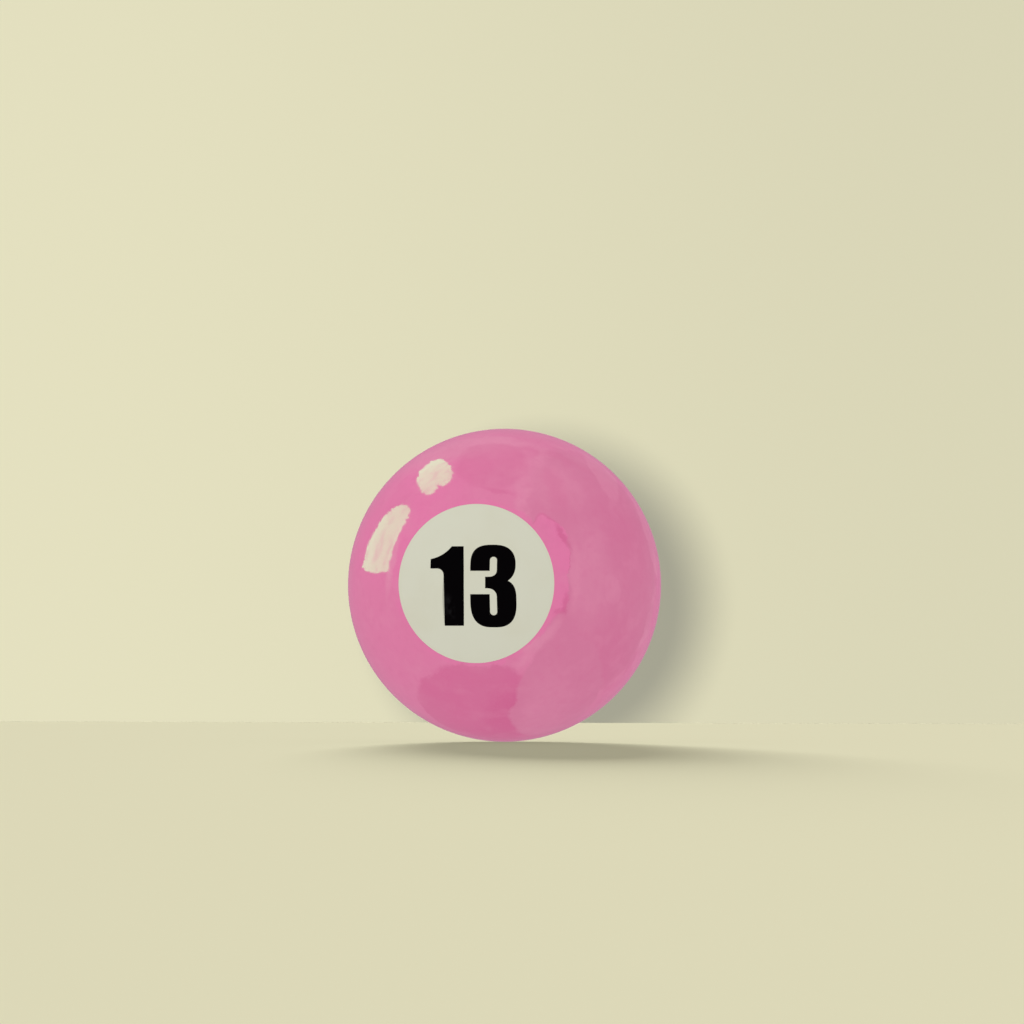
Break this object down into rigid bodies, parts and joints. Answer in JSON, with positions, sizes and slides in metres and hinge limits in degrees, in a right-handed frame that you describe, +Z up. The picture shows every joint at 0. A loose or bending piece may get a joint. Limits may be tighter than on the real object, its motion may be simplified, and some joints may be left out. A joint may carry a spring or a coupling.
{
  "type": "numbered pool ball",
  "caption": "Solid pink cast-resin pool ball with a weighted core and, on opposite sides, a flush cream disc inlaid with a heavy black number",
  "frame": {"origin": "centre of the ball", "axes": "+Y and -Y run out through the middles of the two number discs; the front number faces -Y and the rear number faces +Y; +Z is up on both numbers"},
  "size_m": [0.0572, 0.0572, 0.0572],
  "materials": {
    "pink_resin": "gloss",
    "cream_resin": "gloss",
    "black_resin": "gloss",
    "core_resin": "matte"
  },
  "bodies": {
    "root": {"weighted_core": "core_resin", "colour_shell": "pink_resin", "front_number_disc": "cream_resin", "front_numeral_1": "black_resin", "front_numeral_3": "black_resin", "rear_number_disc": "cream_resin", "rear_numeral_1": "black_resin", "rear_numeral_3": "black_resin"}
  },
  "joints": []
}
